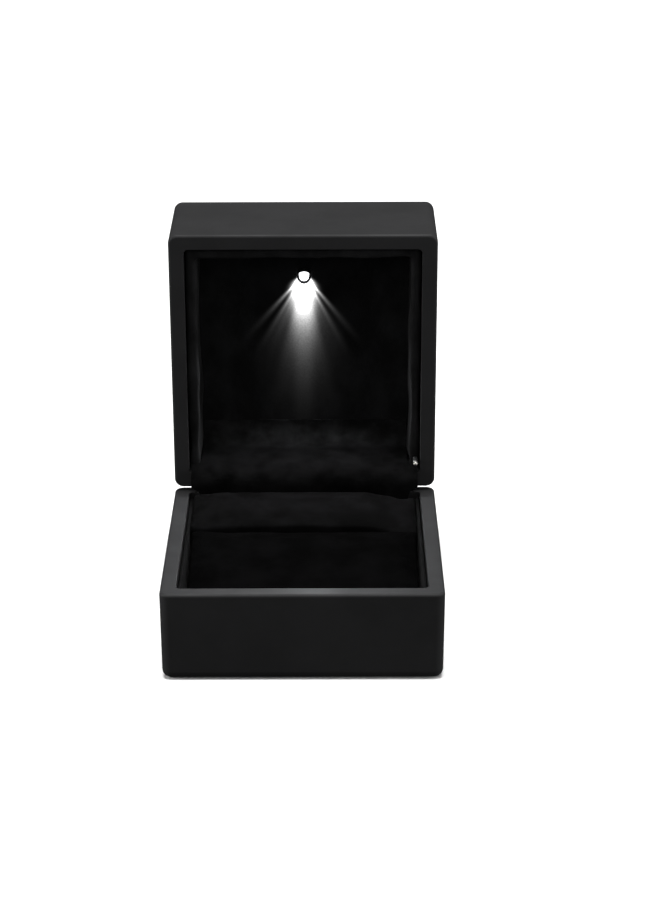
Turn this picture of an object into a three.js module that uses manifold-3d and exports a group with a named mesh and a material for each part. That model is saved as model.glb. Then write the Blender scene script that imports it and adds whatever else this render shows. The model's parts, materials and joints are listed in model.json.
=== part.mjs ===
// Hinged ring box with a lamp in its lid, drawn open.
// Millimetres, +Z up, +X to the right, +Y towards the hinge. Origin: centre of the base's footprint.
// The lid's pieces are drawn shut, in the group named lid_place, and the group turns them open.
import * as THREE from "three";
import { mergeVertices } from "three/addons/utils/BufferGeometryUtils.js";
import Module from "manifold-3d";

const wasm = await Module();
wasm.setup();

// ---------------------------------------------------------------- driving dimensions
const WIDTH = 65;
const DEPTH = 66;
const BASE_HEIGHT = 21.5;
const LID_HEIGHT = 28.5;
const WALL = 3.7;
const BASE_FLOOR = 2.2;
const LID_TOP = 2.6;
const CORNER = 2.2; // upright corners, outside
const INNER_CORNER = 1.2; // upright corners of the cavity
const FOOT_ROUND = 2.1; // edge round the underside
const LID_TOP_ROUND = 1.6; // edge round the lid's top
const RIM_ROUND = 1; // outer edge of the two rims
const RIM_GAP = 0.3; // between the rims when shut
const OPEN_ANGLE = THREE.MathUtils.degToRad(88);
const GAP = 0.3; // between pieces that touch in the real box

const HINGE_Y = 31.9;
const HINGE_Z = 23.6;
const HINGE_HALF = 20; // half the hinge's length
const KNUCKLE_R = 1.05;
const KNUCKLE_BORE_R = 0.5;
const PIN_R = 0.45;
const LEAF = 0.6; // sheet thickness of the hinge leaves
const LEAF_REACH = 14; // how far a leaf runs down its wall

const LINING = 1.4; // velvet-covered card inside the base walls
const LINING_DROP = 1.2; // its top edge below the base rim
const LID_LINING = 2.4; // the thicker padded lining of the lid walls
const LID_LINING_DROP = 1.5;
const VELVET = 0.6;
const CARD = 1.2;
const PANEL_DEPTH = 17.8; // from the lid's rim to the velvet face of the lamp panel
const LAMP_FROM_HINGE = 49; // lamp hole from the hinge axis, along the panel
const LAMP_TILT = THREE.MathUtils.degToRad(40); // the lamp leans towards the ring
const LAMP_R = 1.2;
const LAMP_HOLE_R = 2.1;

const FRONT_PAD = { y0: -27.3, y1: 7.9, top0: 14.6, top1: 19.5, round: 2.2 };
const REAR_PAD = { y0: 9.1, y1: 26.8, top0: 20.6, top1: 22.8, round: 2.4 };

const CELL_R = 8;
const CELL_T = 1.6;
const ROD_X = 27.6;
const ROD_Y = 25.9;
const ROD_R = 0.6;
const ROD_TRAVEL = 1.2;

// ---------------------------------------------------------------- derived places
const HALF_W = WIDTH / 2;
const HALF_D = DEPTH / 2;
const IN_W = HALF_W - WALL; // half width of the cavities
const IN_D = HALF_D - WALL;
const RIM_Z = BASE_HEIGHT + RIM_GAP; // rim of the shut lid
const TOP_Z = RIM_Z + LID_HEIGHT;
const CEILING_Z = TOP_Z - LID_TOP;
const PANEL_Z = RIM_Z + PANEL_DEPTH;
const BOARD_Z = PANEL_Z + VELVET + GAP; // lower face of the lamp panel's card
const LAMP_Y = HINGE_Y - LAMP_FROM_HINGE;
const LAMP_Z = BOARD_Z;
const LINING_TOP = BASE_HEIGHT - LINING_DROP;
const LID_LINING_LOW = RIM_Z + LID_LINING_DROP;
const LINING_OUT_W = IN_W - GAP;
const LINING_OUT_D = IN_D - GAP;
const TRAY_Z0 = BOARD_Z + CARD + GAP;
const TRAY_Z1 = CEILING_Z - GAP;
const TRAY_Y = 4;
const LEAF_Y0 = IN_D - GAP - LEAF; // face of a hinge leaf, on the inside of the wall
const CARD_TOP = BASE_FLOOR + GAP + CARD;

// ---------------------------------------------------------------- finishes
const finish = (color, roughness, metalness = 0) =>
  new THREE.MeshStandardMaterial({ color, roughness, metalness });
const softTouchBlack = finish(0x1c1c1d, 0.55);
const blackVelvet = finish(0x0b0b0c, 1);
const foamGrey = finish(0x3a3a3d, 0.95);
const blackCard = finish(0x222223, 0.9);
const nickelSteel = finish(0xb9b9b4, 0.35, 1);
const springSteel = finish(0x8f9092, 0.4, 1);
const brassPlate = finish(0xc9a24c, 0.4, 1);
const blackPlastic = finish(0x151515, 0.5);
const clearLamp = finish(0xf4f8ff, 0.1);
const greenBoard = finish(0x1f5b33, 0.5);
const redInsulation = finish(0xa81f1f, 0.5);
const blackInsulation = finish(0x111111, 0.5);
const resistorCeramic = finish(0x1a1a1a, 0.6);

// ---------------------------------------------------------------- solids and shapes
function solid(geometry) {
  const bare = geometry.clone();
  bare.deleteAttribute("normal");
  bare.deleteAttribute("uv");
  const merged = mergeVertices(bare, 1e-4);
  const kept = [];
  const index = merged.index.array;
  for (let i = 0; i < index.length; i += 3) {
    const [a, b, c] = [index[i], index[i + 1], index[i + 2]];
    if (a !== b && b !== c && a !== c) kept.push(a, b, c);
  }
  return new wasm.Manifold(
    new wasm.Mesh({
      numProp: 3,
      vertProperties: new Float32Array(merged.attributes.position.array),
      triVerts: new Uint32Array(kept),
    }),
  );
}

function geometryOf(made) {
  const mesh = made.getMesh();
  const geometry = new THREE.BufferGeometry();
  geometry.setAttribute("position", new THREE.BufferAttribute(mesh.vertProperties, 3));
  geometry.setIndex(new THREE.BufferAttribute(mesh.triVerts, 1));
  const flat = geometry.toNonIndexed();
  flat.computeVertexNormals();
  return flat;
}

const join = (first, ...others) =>
  geometryOf(others.reduce((sum, g) => sum.add(solid(g)), solid(first)));
const cut = (first, ...tools) =>
  geometryOf(tools.reduce((left, g) => left.subtract(solid(g)), solid(first)));
const common = (first, second) => geometryOf(solid(first).intersect(solid(second)));

// A box between two corners.
function block(x0, x1, y0, y1, z0, z1) {
  return new THREE.BoxGeometry(x1 - x0, y1 - y0, z1 - z0).translate(
    (x0 + x1) / 2,
    (y0 + y1) / 2,
    (z0 + z1) / 2,
  );
}

// A solid of revolution about +Z. The profile runs from bottom to top, as [radius, height].
function turned(profile, sides = 16) {
  const points = profile.map(([r, h]) => new THREE.Vector2(r, h));
  return new THREE.LatheGeometry(points, sides).rotateX(Math.PI / 2);
}

const disc = (r, z0, z1, sides = 16) => turned([[0, z0], [r, z0], [r, z1], [0, z1]], sides);

// A tube about +Z; its profile closes on itself.
const ring = (inner, outer, z0, z1, sides = 16) =>
  turned([[inner, z0], [outer, z0], [outer, z1], [inner, z1], [inner, z0]], sides);

// Turns a solid made about +Z to lie along +X, from x0.
const alongX = (geometry, x0, y, z) => geometry.rotateY(Math.PI / 2).translate(x0, y, z);

function roundedRectangle(halfW, halfD, r) {
  const shape = new THREE.Shape();
  shape.moveTo(-halfW + r, -halfD);
  shape.lineTo(halfW - r, -halfD);
  shape.absarc(halfW - r, -halfD + r, r, -Math.PI / 2, 0);
  shape.lineTo(halfW, halfD - r);
  shape.absarc(halfW - r, halfD - r, r, 0, Math.PI / 2);
  shape.lineTo(-halfW + r, halfD);
  shape.absarc(-halfW + r, halfD - r, r, Math.PI / 2, Math.PI);
  shape.lineTo(-halfW, -halfD + r);
  shape.absarc(-halfW + r, -halfD + r, r, Math.PI, 1.5 * Math.PI);
  return shape;
}

// An upright prism on a rounded rectangle, with its end edges rounded by edge.
function prism(halfW, halfD, r, z0, z1, edge = 0) {
  const rounded = {
    bevelEnabled: edge > 0,
    bevelThickness: edge,
    bevelSize: edge,
    bevelOffset: -edge,
    bevelSegments: 3,
  };
  return new THREE.ExtrudeGeometry(roundedRectangle(halfW, halfD, r), {
    depth: z1 - z0 - 2 * edge,
    curveSegments: 3,
    ...rounded,
  }).translate(0, 0, z0 + edge);
}

// A profile drawn in Y and Z, as [y, z] points or a Shape, run along X between two places.
function runAlongX(profile, x0, x1) {
  const shape = profile instanceof THREE.Shape
    ? profile
    : new THREE.Shape(profile.map(([y, z]) => new THREE.Vector2(y, z)));
  return new THREE.ExtrudeGeometry(shape, { depth: x1 - x0, bevelEnabled: false, curveSegments: 4 })
    .rotateY(Math.PI / 2)
    .rotateX(Math.PI / 2)
    .translate(x0, 0, 0);
}

// ---------------------------------------------------------------- shells
// The outer block has a large round at its closed end and a small one at its rim.
function shellBlock(closedZ, rimZ, round) {
  const far = 20;
  const up = rimZ > closedZ;
  const [low, high] = up ? [closedZ, rimZ] : [rimZ, closedZ];
  const footed = prism(HALF_W, HALF_D, CORNER, low - (up ? 0 : far), high + (up ? far : 0), round);
  const rimmed = prism(HALF_W, HALF_D, CORNER, low - (up ? far : 0), high + (up ? 0 : far), RIM_ROUND);
  return common(footed, rimmed);
}

const SCREW_X = 12;
const BASE_SCREW_Z = 13;
const LID_SCREW_Z = 31;
const SCREW_HOLE_R = 1.1;

function wallScrewHole(x, z) {
  return disc(SCREW_HOLE_R, 0, WALL - 0.6, 10).rotateX(-Math.PI / 2).translate(x, IN_D - 0.1, z);
}

function baseShell() {
  const cavity = prism(IN_W, IN_D, INNER_CORNER, BASE_FLOOR, BASE_HEIGHT + 10);
  return cut(
    shellBlock(0, BASE_HEIGHT, FOOT_ROUND),
    cavity,
    wallScrewHole(-SCREW_X, BASE_SCREW_Z),
    wallScrewHole(SCREW_X, BASE_SCREW_Z),
  );
}

const TRAY_SCREW_X = 14.2;

function lidShell() {
  const cavity = prism(IN_W, IN_D, INNER_CORNER, RIM_Z - 10, CEILING_Z);
  const clearance = 0.8;
  const hingeNotch = block(
    -HINGE_HALF - clearance,
    HINGE_HALF + clearance,
    IN_D - 1,
    HALF_D + 1,
    RIM_Z - 1,
    HINGE_Z + KNUCKLE_R + 0.45,
  );
  const trayScrewHoles = [-1, 1].map((side) =>
    disc(SCREW_HOLE_R, CEILING_Z - 0.1, CEILING_Z + 1.6, 10).translate(side * TRAY_SCREW_X, TRAY_Y, 0),
  );
  return cut(
    shellBlock(TOP_Z, RIM_Z, LID_TOP_ROUND),
    cavity,
    hingeNotch,
    wallScrewHole(-SCREW_X, LID_SCREW_Z),
    wallScrewHole(SCREW_X, LID_SCREW_Z),
    ...trayScrewHoles,
  );
}

// ---------------------------------------------------------------- linings
// Three walls round the front and the sides, open towards the hinge.
function threeWalls(thickness, z0, z1) {
  const outer = prism(LINING_OUT_W, LINING_OUT_D, INNER_CORNER, z0, z1);
  const inner = block(
    -LINING_OUT_W + thickness,
    LINING_OUT_W - thickness,
    -LINING_OUT_D + thickness,
    HALF_D,
    z0 - 1,
    z1 + 1,
  );
  return cut(outer, inner);
}

const baseLining = () => threeWalls(LINING, CARD_TOP + GAP, LINING_TOP);

// The right wall carries a groove for the switch rod, on the side of the shell.
function lidLining() {
  const groove = block(
    ROD_X - ROD_R - GAP,
    HALF_W,
    ROD_Y - ROD_R - GAP,
    ROD_Y + ROD_R + GAP,
    LID_LINING_LOW - 1,
    PANEL_Z + 1,
  );
  return cut(threeWalls(LID_LINING, LID_LINING_LOW, BOARD_Z - GAP), groove);
}

// ---------------------------------------------------------------- ring cushions
// Side view of a cushion: its top rises from the front edge to the rear edge.
function cushionProfile(pad, inset, bottom) {
  const { y0, y1, top0, top1 } = pad;
  const r = pad.round - inset;
  const [front, rear] = [y0 + inset, y1 - inset];
  const [low, high] = [top0 - inset, top1 - inset];
  const shape = new THREE.Shape();
  shape.moveTo(front, bottom);
  shape.lineTo(rear, bottom);
  shape.lineTo(rear, high - r);
  shape.quadraticCurveTo(rear, high, rear - 1.4 * r, high - 0.12 * r);
  shape.lineTo(front + 1.4 * r, low + 0.1 * r);
  shape.quadraticCurveTo(front, low, front, low - r);
  return shape;
}

const PAD_HALF = LINING_OUT_W - LINING - GAP;
const PAD_BOTTOM = CARD_TOP + GAP;

// The velvet is a cap over the foam, folded down at both ends and open underneath.
function cushionCover(pad) {
  const outside = runAlongX(cushionProfile(pad, 0, PAD_BOTTOM), -PAD_HALF, PAD_HALF);
  const hollow = cushionProfile(pad, VELVET, PAD_BOTTOM - 1);
  return cut(outside, runAlongX(hollow, -PAD_HALF + VELVET, PAD_HALF - VELVET));
}

function cushionFoam(pad) {
  const inset = VELVET + GAP;
  return runAlongX(cushionProfile(pad, inset, PAD_BOTTOM), -PAD_HALF + inset, PAD_HALF - inset);
}

const insertCard = () =>
  prism(IN_W - GAP, IN_D - GAP, INNER_CORNER, BASE_FLOOR + GAP, CARD_TOP);

// ---------------------------------------------------------------- hinge
const knuckleGap = 0.3;
const BASE_KNUCKLES = [
  [-HINGE_HALF, -14],
  [14, HINGE_HALF],
];
const LID_KNUCKLES = [
  [-14 + knuckleGap, -5],
  [5, 14 - knuckleGap],
];

// A leaf lies on the inside of its wall; its arms pass over the rim to the knuckles.
// side is -1 for the base, whose leaf hangs down, and +1 for the lid.
function hingeLeaf(side, knuckles) {
  const between = (a, b) => [HINGE_Z + side * a, HINGE_Z + side * b].sort((p, q) => p - q);
  const armLow = 0.35;
  const armHigh = armLow + LEAF;
  const [plateZ0, plateZ1] = between(side < 0 ? 2.3 : armLow, LEAF_REACH);
  const [armZ0, armZ1] = between(armLow, armHigh);
  const [linkZ0, linkZ1] = between(armLow, 4);
  const plate = block(-HINGE_HALF, HINGE_HALF, LEAF_Y0, LEAF_Y0 + LEAF, plateZ0, plateZ1);
  const parts = knuckles.flatMap(([x0, x1]) => [
    block(x0, x1, LEAF_Y0, LEAF_Y0 + LEAF, linkZ0, linkZ1),
    block(x0, x1, LEAF_Y0, HINGE_Y - KNUCKLE_BORE_R, armZ0, armZ1),
    alongX(disc(KNUCKLE_R, 0, x1 - x0, 12), x0, HINGE_Y, HINGE_Z),
  ]);
  const bore = alongX(disc(KNUCKLE_BORE_R, -1, 2 * HINGE_HALF + 1, 12), -HINGE_HALF, HINGE_Y, HINGE_Z);
  const screwZ = side < 0 ? BASE_SCREW_Z : LID_SCREW_Z;
  const holes = [-1, 1].map((s) =>
    disc(SCREW_HOLE_R, -1, 2, 10).rotateX(-Math.PI / 2).translate(s * SCREW_X, LEAF_Y0, screwZ),
  );
  return cut(join(plate, ...parts), bore, ...holes);
}

const hingePin = () =>
  alongX(disc(PIN_R, 0, 2 * HINGE_HALF + 0.4, 12), -HINGE_HALF - 0.2, HINGE_Y, HINGE_Z);

// Snap spring round the middle of the pin: one end bears on the base leaf, one on the lid leaf.
function hingeSpring() {
  const half = 4.5;
  const wire = 0.35;
  const [inner, outer] = [KNUCKLE_R - wire, KNUCKLE_R];
  const coil = alongX(ring(inner, outer, 0, 2 * half, 12), -half, HINGE_Y, HINGE_Z);
  const armY = HINGE_Y - inner - 0.1;
  const baseArm = block(-half, -half + wire, LEAF_Y0 + LEAF, armY, HINGE_Z - 0.5 - wire, HINGE_Z - 0.4);
  const lidArm = block(half - wire, half, armY - wire, armY, HINGE_Z + 0.3, HINGE_Z + 2.6);
  return join(coil, baseArm, lidArm);
}

// Pan-head screw along its own +Z: the head's underside is at height 0.
function screw(length) {
  return turned(
    [[0, -0.55], [1.0, -0.55], [1.6, -0.25], [1.6, 0], [0.8, 0], [0.8, length - 0.6], [0, length]],
    10,
  );
}

const wallScrew = (x, z) =>
  screw(3.2).rotateX(-Math.PI / 2).translate(x, LEAF_Y0 - 0.02, z);

// Velvet flap over the hinge, drawn open: up the base's rear wall, round the hinge axis,
// back over the lid's rear wall, then up in a cove to the lamp panel.
function hingeFlap() {
  const radius = 4.5;
  const [low, wallTop] = [6, HINGE_Z];
  const lidRun = 9.5;
  const coveR = 5.8;
  const coveTurn = OPEN_ANGLE;
  const tilt = Math.PI / 2 - OPEN_ANGLE; // the lid's rear wall climbs a little as it goes back
  const path = [[HINGE_Y - radius, low], [HINGE_Y - radius, wallTop]];
  const steps = 6;
  for (let i = 1; i <= steps; i++) {
    const a = Math.PI - (i / steps) * (OPEN_ANGLE);
    path.push([HINGE_Y + radius * Math.cos(a), HINGE_Z + radius * Math.sin(a)]);
  }
  const [ey, ez] = path.at(-1);
  const run = [ey + lidRun * Math.cos(tilt), ez + lidRun * Math.sin(tilt)];
  path.push(run);
  const coveSteps = 5;
  for (let i = 1; i <= coveSteps; i++) {
    const a = tilt + (i / coveSteps) * coveTurn;
    path.push([
      run[0] + coveR * (Math.sin(a) - Math.sin(tilt)),
      run[1] + coveR * (Math.cos(tilt) - Math.cos(a)),
    ]);
  }
  const whole = runAlongX(ribbon(path, VELVET), -25.8, 25.8);
  const wide = runAlongX(ribbon(path.slice(1, 7), VELVET), -28.3, 28.3);
  return join(whole, wide);
}

// Outline of a strip of even thickness along a path of [y, z] points.
function ribbon(path, thickness) {
  const left = [];
  const right = [];
  path.forEach(([y, z], i) => {
    const [py, pz] = path[Math.max(i - 1, 0)];
    const [ny, nz] = path[Math.min(i + 1, path.length - 1)];
    const along = new THREE.Vector2(ny - py, nz - pz).normalize();
    const half = thickness / 2;
    left.push([y - along.y * half, z + along.x * half]);
    right.unshift([y + along.y * half, z - along.x * half]);
  });
  return [...left, ...right].reverse();
}

// ---------------------------------------------------------------- lamp panel
// A solid made about +Z, turned to the lamp's axis: its +Z points out of the panel, at the ring.
const onLampAxis = (geometry) =>
  geometry.rotateX(Math.PI + LAMP_TILT).translate(0, LAMP_Y, LAMP_Z);

const lampHole = () => onLampAxis(disc(LAMP_HOLE_R, -6, 6));

function panelVelvet() {
  const half = LINING_OUT_W - LID_LINING - GAP;
  const sheet = block(-half, half, -LINING_OUT_D + LID_LINING + GAP, 23.6, PANEL_Z, PANEL_Z + VELVET);
  return cut(sheet, lampHole());
}

function panelCard() {
  const sheet = prism(IN_W - GAP, IN_D - GAP, INNER_CORNER, BOARD_Z, BOARD_Z + CARD);
  const rodNotch = block(ROD_X - 1.3, HALF_W, ROD_Y - 1.3, ROD_Y + 1.3, BOARD_Z - 1, BOARD_Z + 3);
  return cut(sheet, lampHole(), rodNotch);
}

const lampCollar = () => onLampAxis(ring(LAMP_R + 0.25, LAMP_R + 0.6, -1.6, 1.1));

function lamp() {
  const domeSteps = 4;
  const shoulder = 0.9;
  const flange = LAMP_R + 0.3;
  const dome = [];
  for (let i = 1; i <= domeSteps; i++) {
    const a = (i / domeSteps) * (Math.PI / 2);
    dome.push([LAMP_R * Math.cos(a), shoulder + LAMP_R * Math.sin(a)]);
  }
  dome[domeSteps - 1][0] = 0;
  const bulb = turned([[0, -2.6], [flange, -2.6], [flange, -2.0], [LAMP_R, -2.0], [LAMP_R, shoulder], ...dome]);
  const leads = [-0.64, 0.64].map((x) => disc(0.25, -4.0, -2.4, 6).translate(x, 0, 0));
  return onLampAxis(join(bulb, ...leads));
}

const BOARD_HALF_X = 5;
const lampBoard = () =>
  block(-BOARD_HALF_X, BOARD_HALF_X, LAMP_Y - 6.5, LAMP_Y + 6, CEILING_Z - 2.1, CEILING_Z - 1.1);
const resistor = () =>
  block(-1.6, 1.6, LAMP_Y + 2.6, LAMP_Y + 4.2, CEILING_Z - 3.1, CEILING_Z - 2.4);

// ---------------------------------------------------------------- battery
const RECESS_R = CELL_R + GAP;
const TRAY_HALF_X = 11.2;
const TRAY_HALF_Y = 10.4;
const RECESS_TOP = TRAY_Z1 - 0.9;

function batteryTray() {
  const body = block(-TRAY_HALF_X, TRAY_HALF_X, TRAY_Y - TRAY_HALF_Y, TRAY_Y + TRAY_HALF_Y, TRAY_Z0, TRAY_Z1);
  const ears = block(-17, 17, TRAY_Y - 3, TRAY_Y + 3, TRAY_Z1 - 1.2, TRAY_Z1);
  const recess = disc(RECESS_R, TRAY_Z0 - 1, RECESS_TOP, 24).translate(0, TRAY_Y, 0);
  const sidePocket = block(CELL_R - 1, CELL_R + 1.9, TRAY_Y - 3, TRAY_Y + 3, TRAY_Z0 - 1, RECESS_TOP);
  const fingerNotch = block(-3, 3, TRAY_Y - TRAY_HALF_Y - 1, TRAY_Y - 6, TRAY_Z0 - 1, TRAY_Z0 + 2);
  const holes = [-1, 1].map((s) =>
    disc(SCREW_HOLE_R, TRAY_Z0, TRAY_Z1 + 1, 10).translate(s * TRAY_SCREW_X, TRAY_Y, 0),
  );
  return cut(join(body, ears), recess, sidePocket, fingerNotch, ...holes);
}

const cellPlace = (i) => TRAY_Z0 + 0.2 + i * (CELL_T + 0.15);

// A coin cell: a cap of smaller radius on a can with a rolled edge.
function coinCell(i) {
  const z = cellPlace(i);
  return turned(
    [[0, z], [CELL_R - 0.9, z], [CELL_R - 0.8, z + 0.3], [CELL_R, z + 0.5], [CELL_R, z + CELL_T], [0, z + CELL_T]],
    24,
  ).translate(0, TRAY_Y, 0);
}

const innerContact = () => {
  const z = cellPlace(1) + CELL_T + 0.12;
  return block(-2.5, 2.5, TRAY_Y - 6, TRAY_Y + 6, z, Math.min(z + 0.3, RECESS_TOP - 0.1));
};

const sideContact = () =>
  block(CELL_R + 0.5, CELL_R + 0.9, TRAY_Y - 2.5, TRAY_Y + 2.5, TRAY_Z0 + 0.3, RECESS_TOP - 0.3);

const trayScrew = (side) =>
  screw(2.6).translate(side * TRAY_SCREW_X, TRAY_Y, TRAY_Z1 - 1.2 - 0.02);

// ---------------------------------------------------------------- lid switch
const SWITCH_Z = CEILING_Z - 3.0;
const ROD_TIP_Z = LINING_TOP + GAP - ROD_TRAVEL; // drawn with the lid open: the rod is out

function switchRod() {
  const collarZ = TRAY_Z0 + 0.1;
  const endZ = SWITCH_Z + 0.5;
  return turned(
    [
      [0, ROD_TIP_Z],
      [ROD_R * 0.6, ROD_TIP_Z],
      [ROD_R, ROD_TIP_Z + 0.3],
      [ROD_R, collarZ],
      [ROD_R * 1.7, collarZ],
      [ROD_R * 1.7, collarZ + 0.5],
      [ROD_R, collarZ + 0.5],
      [ROD_R, endZ],
      [0, endZ],
    ],
    10,
  ).translate(ROD_X, ROD_Y, 0);
}

function switchBody() {
  const inset = 0.7;
  const body = block(ROD_X - 4.6, IN_W - inset, ROD_Y - 3.2, IN_D - inset, SWITCH_Z, CEILING_Z - GAP);
  const well = disc(ROD_R + GAP, SWITCH_Z - 1, SWITCH_Z + 0.6 + ROD_TRAVEL, 10).translate(ROD_X, ROD_Y, 0);
  return cut(body, well);
}

function switchSpring() {
  const [z0, z1] = [TRAY_Z0 + 0.1 + 0.5 + 0.05, SWITCH_Z - 0.05];
  return ring(ROD_R + 0.12, ROD_R + 0.42, z0, z1, 10).translate(ROD_X, ROD_Y, 0);
}

// ---------------------------------------------------------------- leads inside the lid
const LEAD_R = 0.4;

function lead(points) {
  const curve = new THREE.CatmullRomCurve3(points.map((p) => new THREE.Vector3(...p)));
  const section = new THREE.Shape();
  section.absarc(0, 0, LEAD_R, 0, 2 * Math.PI);
  return new THREE.ExtrudeGeometry(section, { steps: 14, curveSegments: 4, extrudePath: curve });
}

const LEAD_Z = SWITCH_Z + 1.5;
const lampLead = () =>
  lead([
    [BOARD_HALF_X + 0.5, LAMP_Y + 3, LEAD_Z + 0.9],
    [15, LAMP_Y + 6, LEAD_Z],
    [21.5, 0, LEAD_Z],
    [ROD_X - 3.3, 14, LEAD_Z],
    [ROD_X - 3.3, ROD_Y - 3.2 - GAP, LEAD_Z],
  ]);
const switchLead = () =>
  lead([
    [TRAY_HALF_X + 0.4, TRAY_Y + 7, LEAD_Z - 0.6],
    [15, TRAY_Y + 9, LEAD_Z - 0.6],
    [19, ROD_Y - 4, LEAD_Z - 0.2],
    [ROD_X - 4.6 - GAP, ROD_Y - 1.4, LEAD_Z],
  ]);
const returnLead = () =>
  lead([
    [-TRAY_HALF_X + 4, TRAY_Y - TRAY_HALF_Y - 0.4, LEAD_Z],
    [-TRAY_HALF_X + 3, TRAY_Y - TRAY_HALF_Y - 3, LEAD_Z],
    [-BOARD_HALF_X - 3, LAMP_Y + 6, LEAD_Z + 0.4],
    [-BOARD_HALF_X - 0.5, LAMP_Y + 2, LEAD_Z + 0.9],
  ]);

// ---------------------------------------------------------------- the scene
const root = new THREE.Group();
const lidPlace = new THREE.Group(); // turns about the hinge axis
const lidShut = new THREE.Group(); // holds the lid's pieces as they lie when shut
root.add(lidPlace);
lidPlace.add(lidShut);
lidPlace.position.set(0, HINGE_Y, HINGE_Z);
lidPlace.rotation.x = -OPEN_ANGLE;
lidShut.position.set(0, -HINGE_Y, -HINGE_Z);

function add(group, name, geometry, material) {
  const mesh = new THREE.Mesh(geometry, material);
  mesh.name = name;
  group.add(mesh);
}

add(root, "base_shell", baseShell(), softTouchBlack);
add(root, "insert_card", insertCard(), blackCard);
add(root, "base_lining", baseLining(), blackVelvet);
add(root, "front_cushion_cover", cushionCover(FRONT_PAD), blackVelvet);
add(root, "front_cushion_foam", cushionFoam(FRONT_PAD), foamGrey);
add(root, "rear_cushion_cover", cushionCover(REAR_PAD), blackVelvet);
add(root, "rear_cushion_foam", cushionFoam(REAR_PAD), foamGrey);

add(root, "hinge_base_leaf", hingeLeaf(-1, BASE_KNUCKLES), nickelSteel);
add(root, "hinge_pin", hingePin(), nickelSteel);
add(root, "hinge_snap_spring", hingeSpring(), springSteel);
add(root, "hinge_flap", hingeFlap(), blackVelvet);
add(root, "base_hinge_screw_left", wallScrew(-SCREW_X, BASE_SCREW_Z), nickelSteel);
add(root, "base_hinge_screw_right", wallScrew(SCREW_X, BASE_SCREW_Z), nickelSteel);

add(lidShut, "lid_shell", lidShell(), softTouchBlack);
add(lidShut, "hinge_lid_leaf", hingeLeaf(1, LID_KNUCKLES), nickelSteel);
add(lidShut, "lid_hinge_screw_left", wallScrew(-SCREW_X, LID_SCREW_Z), nickelSteel);
add(lidShut, "lid_hinge_screw_right", wallScrew(SCREW_X, LID_SCREW_Z), nickelSteel);
add(lidShut, "lid_lining", lidLining(), blackVelvet);
add(lidShut, "lamp_panel_velvet", panelVelvet(), blackVelvet);
add(lidShut, "lamp_panel_card", panelCard(), blackCard);
add(lidShut, "lamp_collar", lampCollar(), blackPlastic);
add(lidShut, "lamp", lamp(), clearLamp);
add(lidShut, "lamp_board", lampBoard(), greenBoard);
add(lidShut, "lamp_resistor", resistor(), resistorCeramic);
add(lidShut, "battery_tray", batteryTray(), blackPlastic);
add(lidShut, "battery_cell_lower", coinCell(0), nickelSteel);
add(lidShut, "battery_cell_upper", coinCell(1), nickelSteel);
add(lidShut, "battery_inner_contact", innerContact(), brassPlate);
add(lidShut, "battery_side_contact", sideContact(), brassPlate);
add(lidShut, "tray_screw_left", trayScrew(-1), nickelSteel);
add(lidShut, "tray_screw_right", trayScrew(1), nickelSteel);
add(lidShut, "switch_body", switchBody(), blackPlastic);
add(lidShut, "switch_rod", switchRod(), blackPlastic);
add(lidShut, "switch_spring", switchSpring(), springSteel);
add(lidShut, "lamp_lead", lampLead(), redInsulation);
add(lidShut, "switch_lead", switchLead(), redInsulation);
add(lidShut, "return_lead", returnLead(), blackInsulation);

export default root;
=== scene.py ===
# %% [markdown]
# A ring box with a lamp in its lid, standing open.
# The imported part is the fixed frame: it says where each piece goes and how big it is.
# This script builds the fine surfaces around it: the painted shells, the velvet, the hinge and the light.
# They could be modelled freely, but working from the frame's own sizes keeps every piece on its joint.

# %% Load the frame
import json
import math

import bmesh
import bpy
from mathutils import Matrix, Vector, noise


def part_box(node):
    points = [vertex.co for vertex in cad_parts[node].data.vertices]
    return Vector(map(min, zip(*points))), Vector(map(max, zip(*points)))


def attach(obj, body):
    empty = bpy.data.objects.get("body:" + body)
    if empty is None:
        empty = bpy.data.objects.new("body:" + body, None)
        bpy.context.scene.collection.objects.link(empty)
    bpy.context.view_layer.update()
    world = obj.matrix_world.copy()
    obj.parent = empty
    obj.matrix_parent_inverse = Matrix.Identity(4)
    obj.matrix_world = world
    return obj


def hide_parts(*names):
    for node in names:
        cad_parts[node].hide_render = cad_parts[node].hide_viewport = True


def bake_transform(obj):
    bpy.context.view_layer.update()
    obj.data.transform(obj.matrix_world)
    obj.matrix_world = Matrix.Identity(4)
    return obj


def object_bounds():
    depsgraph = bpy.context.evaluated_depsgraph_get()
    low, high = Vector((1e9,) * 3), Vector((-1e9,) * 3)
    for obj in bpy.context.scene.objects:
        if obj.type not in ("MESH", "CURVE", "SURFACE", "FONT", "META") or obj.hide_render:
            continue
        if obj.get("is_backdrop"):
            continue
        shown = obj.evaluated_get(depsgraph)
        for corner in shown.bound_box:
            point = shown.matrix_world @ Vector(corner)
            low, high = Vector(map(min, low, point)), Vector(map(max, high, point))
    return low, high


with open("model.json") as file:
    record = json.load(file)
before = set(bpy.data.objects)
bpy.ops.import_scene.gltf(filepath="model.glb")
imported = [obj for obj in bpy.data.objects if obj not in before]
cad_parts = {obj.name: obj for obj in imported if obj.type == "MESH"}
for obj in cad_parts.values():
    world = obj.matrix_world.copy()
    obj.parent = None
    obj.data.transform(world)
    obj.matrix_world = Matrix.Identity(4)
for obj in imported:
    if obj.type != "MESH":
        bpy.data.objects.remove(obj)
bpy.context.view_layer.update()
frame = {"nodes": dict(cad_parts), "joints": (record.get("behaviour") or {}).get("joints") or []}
MM = 0.001
print("nodes in the frame:", len(frame["nodes"]))

# %% [markdown]
# Every size below comes from the frame, or is one of the box's own wall and edge sizes.
# The base stands on z = 0, the hinge is along X at the back, and the lid turns about it.
# Lid pieces could be drawn where they stand, but they are square to the axes only when the box is shut.
# So they are drawn shut, and one matrix then turns them open.

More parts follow.
